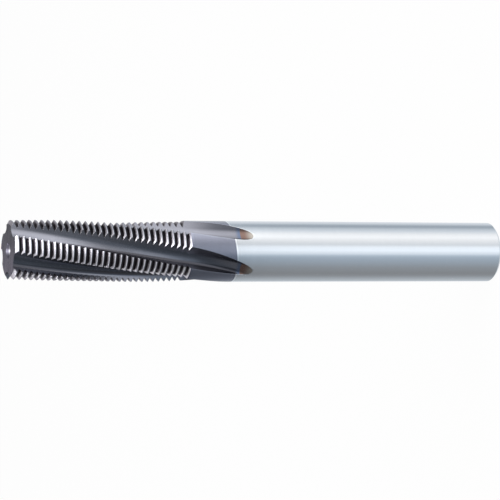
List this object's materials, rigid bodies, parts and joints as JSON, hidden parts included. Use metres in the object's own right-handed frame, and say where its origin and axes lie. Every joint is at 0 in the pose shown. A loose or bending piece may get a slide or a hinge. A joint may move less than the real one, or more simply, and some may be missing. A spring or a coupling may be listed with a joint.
{
  "type": "thread mill",
  "caption": "Solid carbide thread mill: ring-shaped thread teeth on relieved helical lands, flutes that run out towards a plain round shank, centre recess in the flat tip",
  "frame": {"origin": "centre of the shank's flat end face, on the tool's axis; the tool stands on this face", "axes": "+Z runs along the axis from the shank end to the cutting tip; +X and +Y are across the round shank, and the lands are turned about +Z"},
  "size_m": [0.01, 0.01, 0.085],
  "materials": {
    "carbide": "ground and bright on the shank, dark violet-grey hard coating on the teeth, lands and flutes"
  },
  "bodies": {
    "root": {"thread_mill": "carbide"}
  },
  "joints": []
}
